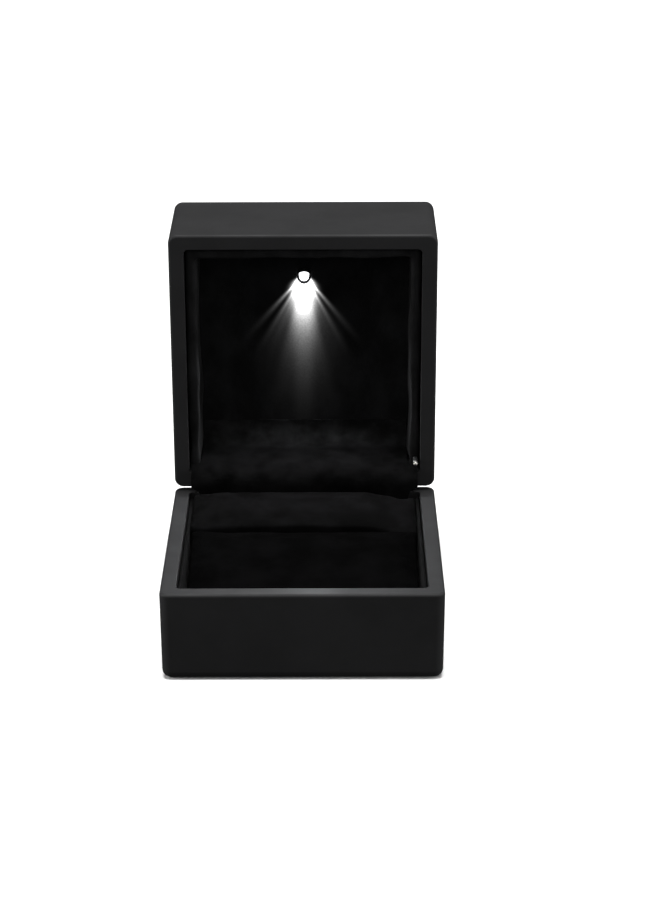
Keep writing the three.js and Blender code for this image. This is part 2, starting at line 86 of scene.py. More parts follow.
# %% Places and sizes
HALF_W, HALF_D, BASE_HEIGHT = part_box("base_shell")[1]
hinge_joint = next(j for j in frame["joints"] if j["name"] == "lid_hinge")
HINGE = Vector(hinge_joint["pos_m"])
OPEN_ANGLE = math.radians(hinge_joint["range_deg"][1])
OPEN = Matrix.Translation(HINGE) @ Matrix.Rotation(-OPEN_ANGLE, 4, "X") @ Matrix.Translation(-HINGE)

WALL = 3.7 * MM
CORNER = 2.2 * MM
INNER_CORNER = 1.2 * MM
FOOT_ROUND, LID_TOP_ROUND, RIM_ROUND = 2.1 * MM, 1.6 * MM, 0.7 * MM
BASE_FLOOR = 2.2 * MM
LID_CEILING = 2.6 * MM
LID_HEIGHT = 28.5 * MM
RIM_Z = BASE_HEIGHT + 0.3 * MM
LID_TOP_Z = RIM_Z + LID_HEIGHT
IN_W, IN_D = HALF_W - WALL, HALF_D - WALL
SLIP = 0.3 * MM
INSERT_Z = 4.1 * MM  # the linings and cushions of the base stand on the card at this height
print("base", HALF_W * 2, HALF_D * 2, BASE_HEIGHT, "hinge", tuple(HINGE))

# %% [markdown]
# The camera looks down at the front of the open box from half a metre away, through a long lens.
# A short lens nearby would show the same box, but it would spread the walls apart towards the viewer.
# It is set first, so that everything after it can be judged in the final view.

# %% Camera
CAMERA_PLACE = Vector((6.653, -528.093, 246.356)) * MM
PITCH, YAW, ROLL = (math.radians(angle) for angle in (20.975, -0.029, -0.158))
camera_data = bpy.data.cameras.new("camera")
camera_data.sensor_fit = "VERTICAL"
camera_data.sensor_height = 36
camera_data.lens = 96.03
camera_data.clip_end = 20
camera = bpy.data.objects.new("camera", camera_data)
bpy.context.scene.collection.objects.link(camera)
camera.location = CAMERA_PLACE
looking = Matrix.Rotation(-YAW, 4, "Z") @ Matrix.Rotation(math.pi / 2 - PITCH, 4, "X")
camera.rotation_euler = (looking @ Matrix.Rotation(ROLL, 4, "Z")).to_euler()
bpy.context.scene.camera = camera
print("camera", round(camera.location.length, 3), "m from the box, lens", round(camera_data.lens), "mm")

# %% [markdown]
# The backdrop is white, but a white sky would light the black box from all sides and turn it grey.
# So the sky is white only where the camera sees it directly, and dim for everything else.

# %% Backdrop and sky
scene = bpy.context.scene
scene.view_settings.view_transform = "Standard"
world = bpy.data.worlds.new("studio")
scene.world = world
world.use_nodes = True
sky = world.node_tree
sky.nodes.clear()
sky_out = sky.nodes.new("ShaderNodeOutputWorld")
backdrop = sky.nodes.new("ShaderNodeBackground")
backdrop.inputs["Color"].default_value = (1, 1, 1, 1)
dim = sky.nodes.new("ShaderNodeBackground")
dim.inputs["Color"].default_value = (1, 1, 1, 1)
dim.inputs["Strength"].default_value = 0.09
path = sky.nodes.new("ShaderNodeLightPath")
either = sky.nodes.new("ShaderNodeMixShader")
sky.links.new(path.outputs["Is Camera Ray"], either.inputs[0])
sky.links.new(dim.outputs[0], either.inputs[1])
sky.links.new(backdrop.outputs[0], either.inputs[2])
sky.links.new(either.outputs[0], sky_out.inputs[0])
print("sky strength", round(dim.inputs["Strength"].default_value, 2))

# %% [markdown]
# The light is a plain studio. A very soft light from above greys the upward faces, and a tall
# soft box on each side draws a line down each rounded corner. A weak one in front lifts the front walls.
# Bigger boxes would be softer still, but would also light the velvet, which has to stay black.

# %% Lights
MIDDLE = (0, 0, 0.03)


def soft_box(name, at, aim, width, height, power):
    """A rectangular light at a place, turned to face a point."""
    data = bpy.data.lights.new(name, "AREA")
    data.shape = "RECTANGLE"
    data.size, data.size_y, data.energy = width, height, power
    light = bpy.data.objects.new(name, data)
    light.location = at
    light.rotation_euler = (Vector(aim) - Vector(at)).to_track_quat("-Z", "Y").to_euler()
    bpy.context.scene.collection.objects.link(light)


overhead_data = bpy.data.lights.new("overhead", "SUN")
overhead_data.energy = 4.55
overhead_data.angle = math.radians(24)
overhead = bpy.data.objects.new("overhead", overhead_data)
overhead.rotation_euler = (math.radians(1), 0, 0)
scene.collection.objects.link(overhead)
soft_box("left_box", (-0.55, -0.12, 0.16), MIDDLE, 0.16, 0.5, 2.6)
soft_box("right_box", (0.55, -0.12, 0.16), MIDDLE, 0.16, 0.5, 2.1)
soft_box("front_box", (-0.05, -0.9, 0.55), MIDDLE, 0.7, 0.5, 1.25)

# %% [markdown]
# Modelling goes the way it does by hand: a primitive at its size, then edit mode.
# An operator acts on all that is selected, so each step first selects faces or edges, by their place.
# Fixed index numbers would be shorter to write, but they change with every bevel.

# %% Selecting
def only(piece):
    """Leaves this piece selected and active, and nothing else."""
    bpy.ops.object.select_all(action="DESELECT")
    piece.select_set(True)
    bpy.context.view_layer.objects.active = piece


def edit(piece):
    """Opens this piece in edit mode, with nothing selected."""
    only(piece)
    bpy.ops.object.mode_set(mode="EDIT")
    bpy.ops.mesh.select_all(action="DESELECT")


def leave():
    bpy.ops.object.mode_set(mode="OBJECT")


def pick(piece, kind, wanted):
    """Selects the vertices, edges or faces that wanted() is true for, and returns how many."""
    bpy.ops.mesh.select_mode(type=kind)
    bpy.ops.mesh.select_all(action="DESELECT")
    shape = bmesh.from_edit_mesh(piece.data)
    items = {"VERT": shape.verts, "EDGE": shape.edges, "FACE": shape.faces}[kind]
    chosen = [item for item in items if wanted(item)]
    for item in chosen:
        item.select_set(True)
    shape.select_flush_mode()
    bmesh.update_edit_mesh(piece.data)
    return len(chosen)


def middle(edge):
    return (edge.verts[0].co + edge.verts[1].co) / 2


def same(a, b, within=0.02 * MM):
    return abs(a - b) < within


def level(edge, z):
    """True for an edge that lies at height z."""
    return all(same(v.co.z, z) for v in edge.verts)


def upright(edge):
    a, b = (v.co for v in edge.verts)
    return same(a.x, b.x) and same(a.y, b.y) and not same(a.z, b.z)

# %% [markdown]
# Most pieces start as a block between two corners. Each piece is then settled: its place goes into its mesh,
# and the object itself stays at the origin, unturned. Patterns in the materials then stay where they are
# when the lid turns.

# %% Blocks
def settle(piece, matrix=None):
    """Puts the piece's place, turn and scale into its mesh, after an optional matrix."""
    only(piece)
    if matrix is not None:
        piece.matrix_world = matrix @ piece.matrix_world
    bpy.ops.object.transform_apply(location=True, rotation=True, scale=True)
    return piece


def block(name, low, high):
    """A box between two corners, as a start for modelling."""
    low, high = Vector(low), Vector(high)
    bpy.ops.object.select_all(action="DESELECT")
    bpy.ops.mesh.primitive_cube_add(size=1, location=(low + high) / 2, scale=high - low)
    piece = bpy.context.object
    piece.name = piece.data.name = name
    return settle(piece)

# %% [markdown]
# Modifiers are applied at once, so that the next step works on real faces. Booleans cut and join,
# bevels round the edges that a test picks, and weighted normals keep wide flat faces flat in the light.

# %% Modifiers
def modify(piece, kind, **settings):
    """Adds a modifier and applies it."""
    only(piece)
    modifier = piece.modifiers.new(kind.lower(), kind)
    for setting, value in settings.items():
        setattr(modifier, setting, value)
    bpy.ops.object.modifier_apply(modifier=modifier.name)
    return piece


def combine(piece, tool, operation):
    """Cuts the piece with a tool piece, or joins the tool to it, and removes the tool."""
    modify(piece, "BOOLEAN", object=tool, operation=operation, solver="EXACT")
    bpy.data.objects.remove(tool)
    return piece


def bevel(piece, wanted, width, segments=4):
    """Rounds the edges that wanted() is true for."""
    edit(piece)
    if pick(piece, "EDGE", wanted):
        bpy.ops.mesh.bevel(offset=width, segments=segments, profile=0.5, affect="EDGES")
    leave()


def smooth(piece, degrees=35, weighted=True):
    """Shades the piece smooth, but keeps edges that turn by more than some degrees."""
    only(piece)
    bpy.ops.object.shade_smooth_by_angle(angle=math.radians(degrees))
    if weighted:
        modify(piece, "WEIGHTED_NORMAL", keep_sharp=True)

# %% [markdown]
# Each fine piece stands for a node of the part: it hides the plain solid, and rides on its body.
# One function says all of that, so that no piece can miss a part of it.

# %% Standing for a node
def shown_for(piece, body, node, material):
    """The piece stands for a CAD node, rides on its body and takes its finish."""
    piece.data.materials.clear()
    piece.data.materials.append(material)
    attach(piece, body)
    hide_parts(node)
    faces = sum(len(face.vertices) - 2 for face in piece.data.polygons)
    print(f"{piece.name}: {faces} triangles")

# %% [markdown]
# Materials are written as sums. A Flow is a value on its way through the shader,
# and arithmetic on it adds Math nodes. Linking every node by hand gives the same result,
# but a formula can be read at a glance.

# %% Flows
class Flow:
    """The output of one shader node."""

    def __init__(self, finish, socket):
        self.finish = finish
        self.socket = socket

    def __add__(self, other):
        return self.finish.maths("ADD", self, other)

    def __sub__(self, other):
        return self.finish.maths("SUBTRACT", self, other)

    def __rsub__(self, other):
        return self.finish.maths("SUBTRACT", other, self)

    def __mul__(self, other):
        return self.finish.maths("MULTIPLY", self, other)

    def __truediv__(self, other):
        return self.finish.maths("DIVIDE", self, other)

    def __rtruediv__(self, other):
        return self.finish.maths("DIVIDE", other, self)

    def __pow__(self, other):
        return self.finish.maths("POWER", self, other)

    def __rpow__(self, other):
        return self.finish.maths("POWER", other, self)

    __radd__ = __add__
    __rmul__ = __mul__

# %% [markdown]
# A Finish is one material. Its node method makes every node but the shader and the output, and the others
# are short names for the patterns that this box needs: noise, pores, a soft step and a mix of two colours.
# Patterns read the object's own coordinates, in metres, so their sizes are real sizes.

# %% Finishes
class Finish:
    """A material, with its Principled shader and the flows that feed it."""

    def __init__(self, name, **constants):
        self.material = bpy.data.materials.new(name)
        self.material.use_nodes = True
        self.tree = self.material.node_tree
        self.tree.nodes.clear()
        self.shader = self.tree.nodes.new("ShaderNodeBsdfPrincipled")
        output = self.tree.nodes.new("ShaderNodeOutputMaterial")
        self.tree.links.new(self.shader.outputs[0], output.inputs[0])
        for socket, value in constants.items():
            self.shader.inputs[socket.replace("_", " ")].default_value = value
        self.place = self.node("TexCoord", output="Object")

    def node(self, kind, settings=None, inputs=None, output=0):
        """A new node. Its settings are set first, then the values or flows of its sockets."""
        made = self.tree.nodes.new("ShaderNode" + kind)
        for name, value in (settings or {}).items():
            setattr(made, name, value)
        for name, value in (inputs or {}).items():
            self.feed(made.inputs[name], value)
        return Flow(self, made.outputs[output])

    def feed(self, socket, value):
        if isinstance(value, Flow):
            self.tree.links.new(value.socket, socket)
        else:
            socket.default_value = value

    def maths(self, operation, first, second=0.0):
        return self.node("Math", {"operation": operation}, {0: first, 1: second})

    def along(self, axis):
        """How far the point lies along X, Y or Z, in metres."""
        return self.node("SeparateXYZ", None, {0: self.place}, axis)

    def noise(self, size, detail=2.0, roughness=0.5, stretch=(1, 1, 1)):
        """Smooth noise from 0 to 1 with features of a given size, in metres."""
        place = self.place
        if stretch != (1, 1, 1):
            place = self.node("Mapping", None, {"Vector": place, "Scale": stretch})
        inputs = {"Vector": place, "Scale": 1 / size, "Detail": detail, "Roughness": roughness}
        return self.node("TexNoise", None, inputs)

    def pores(self, size):
        """Distance from the nearest of many scattered points: 0 in the middle of a pore."""
        return self.node("TexVoronoi", None, {"Vector": self.place, "Scale": 1 / size}, "Distance")

    def between(self, value, low, high, low_out=0.0, high_out=1.0):
        """A soft step from low_out to high_out, while the value goes from low to high."""
        inputs = {0: value, 1: low, 2: high, 3: low_out, 4: high_out}
        return self.node("MapRange", {"interpolation_type": "SMOOTHSTEP"}, inputs)

    def blend(self, factor, first, second):
        """A colour between two others."""
        return self.node("Mix", {"data_type": "RGBA"}, {0: factor, 6: first, 7: second}, 2)

    def set(self, **flows):
        """Feeds sockets of the shader, each named with _ for a space."""
        for socket, value in flows.items():
            self.feed(self.shader.inputs[socket.replace("_", " ")], value)

    def bump(self, height, distance, strength):
        """Gives the surface a fine relief, and returns the finished material."""
        inputs = {"Height": height, "Distance": distance, "Strength": strength}
        self.set(Normal=self.node("Bump", None, inputs))
        return self.material

# %% [markdown]
# The shells are moulded plastic under a soft-touch paint: almost black, with a dull sheen.
# One even grey would do from afar, but a real coat has a fine orange peel that breaks up the highlights,
# and handling leaves slightly smoother patches.

# %% Soft-touch paint
def soft_touch_paint():
    finish = Finish("soft_touch_black", Specular_IOR_Level=0.15)
    handled = finish.noise(14 * MM, detail=3)
    peel = finish.noise(0.42 * MM, detail=2)
    speck = finish.noise(0.11 * MM, detail=1)
    tone = finish.between(handled * 0.7 + speck * 0.3, 0.35, 0.65)
    colour = finish.blend(tone, (0.0165, 0.0165, 0.017, 1), (0.0215, 0.0215, 0.0222, 1))
    rough = finish.between(handled, 0.35, 0.7, 0.62, 0.52)
    finish.set(Base_Color=colour, Roughness=rough + speck * 0.05)
    return finish.bump(peel * 0.7 + speck * 0.3, 0.012 * MM, 0.5)


PAINT = soft_touch_paint()
print("paint:", PAINT.name)

# %% [markdown]
# Velvet is a short pile. Where it has been brushed one way it looks darker, and the other way lighter,
# so the tone wanders in soft patches. Close up, the tips of the pile make a fine grain.
# A little sheen gives the pale edge that velvet has where it turns away. Real hairs would look right too,
# but a million of them cost far more than they show on a box this small.

# %% Velvet
def velvet(name, dark=0.0022, light=0.0065, sheen=0.012, patch=6 * MM, gloss=0.05):
    finish = Finish(name, Specular_IOR_Level=gloss, Sheen_Weight=sheen, Sheen_Roughness=0.35)
    brushed = finish.noise(patch, detail=4, roughness=0.6, stretch=(1, 1, 0.6))
    tuft = finish.noise(0.28 * MM, detail=2)
    pile = finish.noise(0.09 * MM, detail=1)
    tone = finish.between(brushed, 0.3, 0.72) * 0.75 + tuft * 0.25
    colour = finish.blend(tone, (dark, dark, dark, 1), (light, light, light * 1.04, 1))
    finish.set(Base_Color=colour, Roughness=finish.between(tuft, 0.3, 0.7, 0.9, 1.0))
    finish.bump(tuft * 0.55 + pile * 0.45, 0.05 * MM, 0.7)
    return finish


# These are copies of one velvet in different tones, painted to stand in for light: the lid's upright velvet
# is lighter than the base's, as little of the overhead light reaches it, and the rear cushion is lighter than
# the front one, as painted light, since it takes more of the light.
BASE_VELVET = velvet("base_velvet", 0.0016, 0.004, 0.006).material
LID_VELVET = velvet("lid_velvet", 0.0066, 0.018, 0.01).material
FRONT_VELVET = velvet("front_cushion_velvet", 0.0010, 0.0022, 0.0008, 9 * MM, 0.0).material
REAR_VELVET = velvet("rear_cushion_velvet", 0.0019, 0.0042, 0.0015, 7 * MM, 0.0).material
print("velvets:", [m.name for m in (BASE_VELVET, LID_VELVET, FRONT_VELVET, REAR_VELVET)])

# %% [markdown]
# The base is one thick-walled moulding. It starts as a block. The upright edges are rounded,
# then the edge round its closed end and the smaller one round its rim. A second block, with corners
# of its own, is the cavity: it is cut out, and the sharp inner edge of the rim is then eased.
# Insetting the top face and pushing it down would be quicker, but the walls are thicker than the corners
# are round, and an inset would cross itself there.

# %% Base shell
def hollow_box(name, height, floor, end_round, draw_in=0.0):
    """A box with its open rim up, standing on z = 0. Its walls draw in towards the closed end."""
    piece = block(name, (-HALF_W, -HALF_D, 0), (HALF_W, HALF_D, height))
    bevel(piece, upright, CORNER, 12)
    bevel(piece, lambda e: level(e, 0), end_round, 8)
    bevel(piece, lambda e: level(e, height), RIM_ROUND, 6)
    cavity = block("cavity", (-IN_W, -IN_D, floor), (IN_W, IN_D, height + 5 * MM))
    bevel(cavity, upright, INNER_CORNER, 6)
    combine(piece, cavity, "DIFFERENCE")

    def inner_rim(edge):
        centre = middle(edge)
        near = abs(centre.x) < IN_W + 0.1 * MM and abs(centre.y) < IN_D + 0.1 * MM
        return near and level(edge, height)

    bevel(piece, inner_rim, 0.2 * MM, 3)
    for vertex in piece.data.vertices:
        narrower = draw_in * (1 - vertex.co.z / height) / HALF_W
        vertex.co.x *= 1 - narrower
        vertex.co.y *= 1 - narrower
    return piece


base = hollow_box("base_body", BASE_HEIGHT, BASE_FLOOR, FOOT_ROUND, 0.22 * MM)
smooth(base)
shown_for(base, "base", "base_shell", PAINT)

# %% [markdown]
# The lid is made the same way and turned over. A notch in its rear wall clears the hinge knuckles.
# The notch is cut while the lid is shut, where its sides are straight, and then the lid is turned open.

# %% Lid shell
NOTCH_HALF = 20.8 * MM
NOTCH_TOP = HINGE.z + 1.5 * MM

lid = hollow_box("lid_body", LID_HEIGHT, LID_CEILING, LID_TOP_ROUND)
settle(lid, Matrix.Translation((0, 0, LID_TOP_Z)) @ Matrix.Rotation(math.pi, 4, "X"))
notch = block("notch", (-NOTCH_HALF, IN_D - MM, RIM_Z - MM), (NOTCH_HALF, HALF_D + MM, NOTCH_TOP))
combine(lid, notch, "DIFFERENCE")
smooth(lid)
settle(lid, OPEN)
shown_for(lid, "lid", "lid_shell", PAINT)

# %% [markdown]
# The linings are velvet wrapped round card, on the front and the two sides. One starts as the front wall,
# and its two ends are pulled back into side walls. Left sharp, they would look like painted board,
# so they are remeshed to small even faces, and a little smooth noise then makes the edges soft
# and slightly uneven, as wrapped cloth is.

# %% Walls of a lining
def three_walls(name, thickness, low, high, back):
    """A U-shaped lining: front wall and two side walls, open at the hinge."""
    w, d = IN_W - SLIP, IN_D - SLIP
    piece = block(name, (-w, -d, low), (w, -d + thickness, high))
    edit(piece)
    for side in (-1, 1):
        bpy.ops.mesh.select_all(action="SELECT")
        bpy.ops.mesh.bisect(plane_co=(side * (w - thickness), 0, 0), plane_no=(1, 0, 0))
    pick(piece, "FACE", lambda f: f.normal.y > 0.9 and abs(f.calc_center_median().x) > w - thickness)
    length = back - (-d + thickness)
    bpy.ops.mesh.extrude_region_move(TRANSFORM_OT_translate={"value": (0, length, 0)})
    leave()
    return piece


def ripple(piece, size, height, seed):
    """Moves each point along its normal by smooth noise, which is the same on every run."""
    offset = Vector((seed, 1.7 * seed, 0.3 * seed))
    normals = [v.normal.copy() for v in piece.data.vertices]
    for vertex, normal in zip(piece.data.vertices, normals):
        amount = height * noise.noise(vertex.co / size + offset)
        vertex.co += normal * amount
    piece.data.update()

# %% [markdown]
# The base lining is thin card. The lid's is padded, so its noise is broader and higher.

# %% Linings
base_lining = three_walls("base_lining_velvet", 0.8 * MM, INSERT_Z, BASE_HEIGHT - 1.2 * MM, IN_D - SLIP)
modify(base_lining, "REMESH", mode="VOXEL", voxel_size=0.28 * MM)
modify(base_lining, "SMOOTH", factor=0.5, iterations=3)
ripple(base_lining, 5 * MM, 0.15 * MM, 3.1)
smooth(base_lining, 60, weighted=False)
shown_for(base_lining, "base", "base_lining", BASE_VELVET)

lid_lining = three_walls("lid_lining_velvet", 2.4 * MM, RIM_Z + 1.5 * MM, RIM_Z + 18.4 * MM, IN_D - SLIP)
modify(lid_lining, "REMESH", mode="VOXEL", voxel_size=0.4 * MM)
modify(lid_lining, "SMOOTH", factor=0.5, iterations=8)
ripple(lid_lining, 9 * MM, 0.7 * MM, 7.7)
smooth(lid_lining, 60, weighted=False)
settle(lid_lining, OPEN)
shown_for(lid_lining, "lid", "lid_lining", LID_VELVET)

# %% [markdown]
# The lamp looks out of the lid above the ring, and leans towards it. Its foot is placed in the shut lid,
# and one matrix then carries anything drawn along +Z onto the lamp's axis.

# %% The lamp's place
LAMP_FROM_HINGE = 49.0 * MM
PANEL_Z_SHUT = RIM_Z + 17.8 * MM
LAMP_FOOT = Vector((0, HINGE.y - LAMP_FROM_HINGE, PANEL_Z_SHUT + 0.9 * MM))
LAMP_TILT = math.radians(40)
LAMP_AXIS = Matrix.Rotation(math.pi + LAMP_TILT, 4, "X")
ON_LAMP = OPEN @ Matrix.Translation(LAMP_FOOT) @ LAMP_AXIS
LAMP_CENTRE = OPEN @ LAMP_FOOT
print("lamp at", [round(v / MM, 1) for v in LAMP_CENTRE], "mm")

# %% [markdown]
# The lamp lights the velvet below it in a fan: a bright core and a few thin rays.
# A light in the scene could cast the fan, but so close to the velvet its edge would be a matter
# of tiny angles. So the fan is painted light: a glow in the panel's velvet, worked out from
# the distance to the lamp and the angle from straight down.

# %% The fan of light
# angle from straight down in degrees, width in degrees, strength
RAYS = [(-43, 1.9, 0.034), (-31.5, 1.8, 0.05), (-25, 2.5, 0.02), (29, 1.8, 0.045), (40, 1.9, 0.034)]
LEAN = -0.5  # the whole fan leans a little to the left, in degrees
FORESHORTENED = 0.93  # the fan is a little shorter down the panel than across it
BRIGHTEST = 2.5


def bell(value, centre, width, edge=2.0):
    """1 at the centre of a flow's range, falling off at some width. A higher edge falls more steeply."""
    off = value.finish.maths("ABSOLUTE", (value - centre) / width)
    return math.e ** (off**edge * -0.5)


def lit_velvet(name, dark, light, sheen):
    """Velvet with the lamp's fan painted on it as a glow. Distances in the fan are in millimetres."""
    finish = velvet(name, dark, light, sheen)
    across = (finish.along("X") - LAMP_CENTRE.x) / MM
    down = (LAMP_CENTRE.z - finish.along("Z")) * (FORESHORTENED / MM)
    away = finish.maths("SQRT", across * across + down * down)
    angle = finish.maths("ARCTAN2", across, down) * (180 / math.pi)

    # three shapes share the core: a column under the lamp, a wedge round it and a faint wide skirt
    under_lamp = finish.between(down, -0.6, 0.6) * bell(angle, LEAN, 40.0, 5.0)
    column = bell(across, -0.15, 1.9, 2.6) * under_lamp * 0.65
    wedge = bell(angle, LEAN, 13.5, 6.0) * 0.3
    skirt = bell(angle, LEAN, 26.0, 6.0) * 0.085
    core = math.e ** (8.16 - 3.27 * away**0.4) * (column + wedge + skirt)

    # the rays are thinner and end sooner
    thin = (11.03 / finish.maths("MAXIMUM", away, 3.0)) ** 4.5
    reach = finish.between(away, 17.0, 26.0, 1.0, 0.0)
    rays = thin * reach * sum(bell(angle, centre, width) * strength for centre, width, strength in RAYS)

    # the pile catches the light unevenly
    mottle = finish.between(finish.noise(0.35 * MM), 0.25, 0.75, 0.85, 1.12)
    glow = finish.maths("MINIMUM", (core + rays) * mottle, BRIGHTEST)
    grey = finish.node("CombineColor", None, {0: glow, 1: glow, 2: glow})
    finish.set(Emission_Color=grey, Emission_Strength=1.0)
    return finish.material


# painted light: the fan glows in the panel's velvet, whose own tones are as light as the lid velvet's
PANEL_VELVET_WITH_PAINTED_FAN = lit_velvet("lamp_panel_velvet", 0.0068, 0.0185, 0.006)
print("fan:", len(RAYS), "rays,", len(PANEL_VELVET_WITH_PAINTED_FAN.node_tree.nodes), "shader nodes")

# %% [markdown]
# The panel itself is card under velvet, across the lid, with a round hole for the lamp.
# The hole is cut along the lamp's tilted axis, as a drill would go, so that the lamp stands free in it.

# %% Lamp panel
HOLE_R = 1.9 * MM
PANEL_CLOTH = 0.6 * MM
PANEL_REAR = 23.6 * MM
panel_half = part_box("lamp_panel_velvet")[1].x + 0.5 * MM
panel_front = -(IN_D - SLIP) + 2.0 * MM


def rod(name, radius, start, end, sides=32):
    """A cylinder between two points."""
    start, end = Vector(start), Vector(end)
    axis = end - start
    bpy.ops.object.select_all(action="DESELECT")
    bpy.ops.mesh.primitive_cylinder_add(
        vertices=sides,
        radius=radius,
        depth=axis.length,
        location=(start + end) / 2,
        rotation=axis.to_track_quat("Z", "Y").to_euler(),
    )
    piece = bpy.context.object
    piece.name = piece.data.name = name
    return settle(piece)


panel_end = (panel_half, PANEL_REAR, PANEL_Z_SHUT + PANEL_CLOTH)
panel = block("lamp_panel_cloth", (-panel_half, panel_front, PANEL_Z_SHUT), panel_end)
hole = rod("hole", HOLE_R, (0, 0, -6 * MM), (0, 0, 6 * MM), 64)
settle(hole, Matrix.Translation(LAMP_FOOT) @ LAMP_AXIS)
combine(panel, hole, "DIFFERENCE")
bevel(panel, lambda e: level(e, PANEL_Z_SHUT), 0.18 * MM, 3)
smooth(panel)
settle(panel, OPEN)
shown_for(panel, "lid", "lamp_panel_velvet", PANEL_VELVET_WITH_PAINTED_FAN)

# %% [markdown]
# Anything round is turned, as on a lathe: half of its outline is drawn, and spun about +Z.
# A cylinder with more cuts would need many steps for a shoulder or a groove, and here each is one more point.

# %% Turning
def turned_piece(name, profile, sides=48):
    """Spins a profile of (radius, height) points about +Z. The profile starts and ends on the axis."""
    data = bpy.data.meshes.new(name)
    points = [(r, 0, h) for r, h in profile]
    data.from_pydata(points, [(i, i + 1) for i in range(len(points) - 1)], [])
    piece = bpy.data.objects.new(name, data)
    bpy.context.scene.collection.objects.link(piece)
    edit(piece)
    bpy.ops.mesh.select_all(action="SELECT")
    bpy.ops.mesh.spin(steps=sides, angle=2 * math.pi, center=(0, 0, 0), axis=(0, 0, 1))
    bpy.ops.mesh.select_all(action="SELECT")
    bpy.ops.mesh.remove_doubles(threshold=0.001 * MM)
    bpy.ops.mesh.normals_make_consistent(inside=False)
    leave()
    return piece


def in_mm(profile):
    """The same profile, from millimetres to metres."""
    return [(r * MM, h * MM) for r, h in profile]

# %% [markdown]
# The lamp is a small round-topped diode with a flange at its foot. It is clear plastic, but when it is lit
# only its own white glow shows, so it is drawn as a white body that glows.

# %% Lamp
def lamp_glow():
    finish = Finish("lit_lamp", Roughness=0.08, IOR=1.5)
    grain = finish.noise(0.5 * MM)
    finish.set(Base_Color=finish.blend(grain, (0.85, 0.88, 0.92, 1), (0.95, 0.97, 1, 1)))
    finish.set(Emission_Color=finish.blend(grain, (0.92, 0.96, 1, 1), (1, 1, 1, 1)), Emission_Strength=3.0)
    return finish.material


LAMP_R, FLANGE_R = 1.2 * MM, 1.5 * MM
LAMP_BACK, FLANGE_TOP, SHOULDER = -2.6 * MM, -2.0 * MM, 0.9 * MM
DOME_STEPS = 12
dome_angles = [i * math.pi / 2 / DOME_STEPS for i in range(DOME_STEPS)]
dome = [(LAMP_R * math.cos(a), SHOULDER + LAMP_R * math.sin(a)) for a in dome_angles]
lamp_foot = [(0, LAMP_BACK), (FLANGE_R, LAMP_BACK), (FLANGE_R, FLANGE_TOP), (LAMP_R, FLANGE_TOP)]
lamp = turned_piece("lamp_diode", lamp_foot + dome + [(0, SHOULDER + LAMP_R)])
smooth(lamp, 40)
settle(lamp, ON_LAMP)
shown_for(lamp, "lid", "lamp", lamp_glow())

# %% [markdown]
# A black plastic collar holds the lamp in its hole, and fills most of the gap round it. It is a ring with
# a rounded lip, turned like the lamp, so that both share one axis.

# %% Lamp collar
def black_plastic():
    finish = Finish("black_plastic", Specular_IOR_Level=0.4)
    grain = finish.noise(0.25 * MM, detail=3)
    finish.set(Base_Color=finish.blend(grain, (0.006, 0.006, 0.006, 1), (0.012, 0.012, 0.0125, 1)))
    finish.set(Roughness=finish.between(grain, 0.3, 0.7, 0.38, 0.52))
    return finish.bump(grain, 0.01 * MM, 0.5)


PLASTIC = black_plastic()
collar_wall = [(1.24, -1.6), (1.8, -1.6)]
collar_lip = [(1.8, 0.2), (1.72, 0.42), (1.6, 0.5), (1.4, 0.48), (1.26, 0.3), (1.24, -1.6)]
collar = turned_piece("lamp_holder", in_mm(collar_wall + collar_lip))
smooth(collar, 40)
settle(collar, ON_LAMP)
shown_for(collar, "lid", "lamp_collar", PLASTIC)

# %% [markdown]
# The lamp also lights the box below it. The diode's own glow would do so only slowly and with much noise,
# so a real spot light stands just in front of it. It rides on the lid with the lamp.

# %% Lamp light
beam_data = bpy.data.lights.new("lamp_beam", "SPOT")
beam_data.energy = 0.145
beam_data.color = (0.95, 0.98, 1.0)
beam_data.spot_size = math.radians(116)
beam_data.spot_blend = 0.6
beam_data.shadow_soft_size = 1.2 * MM
beam = bpy.data.objects.new("lamp_beam", beam_data)
scene.collection.objects.link(beam)
beam.matrix_world = ON_LAMP @ Matrix.Translation((0, 0, 3.2 * MM)) @ Matrix.Rotation(math.pi, 4, "X")
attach(beam, "lid")
print("lamp beam at", [round(v / MM, 1) for v in beam.matrix_world.translation], "mm")

# %% [markdown]
# The two ring cushions are foam under velvet. Each starts as a block whose top slopes up to the back,
# with its long top edges and its two ends rounded.

# %% Cushion block
def cushion_block(name, front, rear, top_front, top_rear, half):
    """A block on the insert card, whose top slopes up from its front to its rear."""
    piece = block(name, (-half, front, INSERT_Z), (half, rear, top_front))
    edit(piece)
    pick(piece, "VERT", lambda v: v.co.z > top_front - MM and v.co.y > rear - MM)
    bpy.ops.transform.translate(value=(0, 0, top_rear - top_front))
    leave()
    return piece


def round_over(piece, half):
    """Rounds the long top edges of a cushion block, and then the smaller edges of its two ends."""

    def high_up(edge):
        return middle(edge).z > 8 * MM

    def endwise(edge):
        return same(edge.verts[0].co.x, edge.verts[1].co.x)

    bevel(piece, lambda e: high_up(e) and not upright(e) and not endwise(e), 1.3 * MM, 4)
    bevel(piece, lambda e: high_up(e) and endwise(e) and abs(middle(e).x) > half - 0.1 * MM, 0.7 * MM, 3)

# %% [markdown]
# A real cushion is crowned because its foam pushes the velvet out against the walls of the box.
# Scaling or smoothing a block rounds it evenly, so a cloth simulation blows it up a little instead,
# and the points near its foot stay put. It runs at twenty times the size,
# because cloth settings are made for pieces about a metre wide.

# %% Swelling
SIM_SCALE = 20
SIM_STEPS = 20
END_PRESS = 1.016  # the ends of a cushion press against the side walls


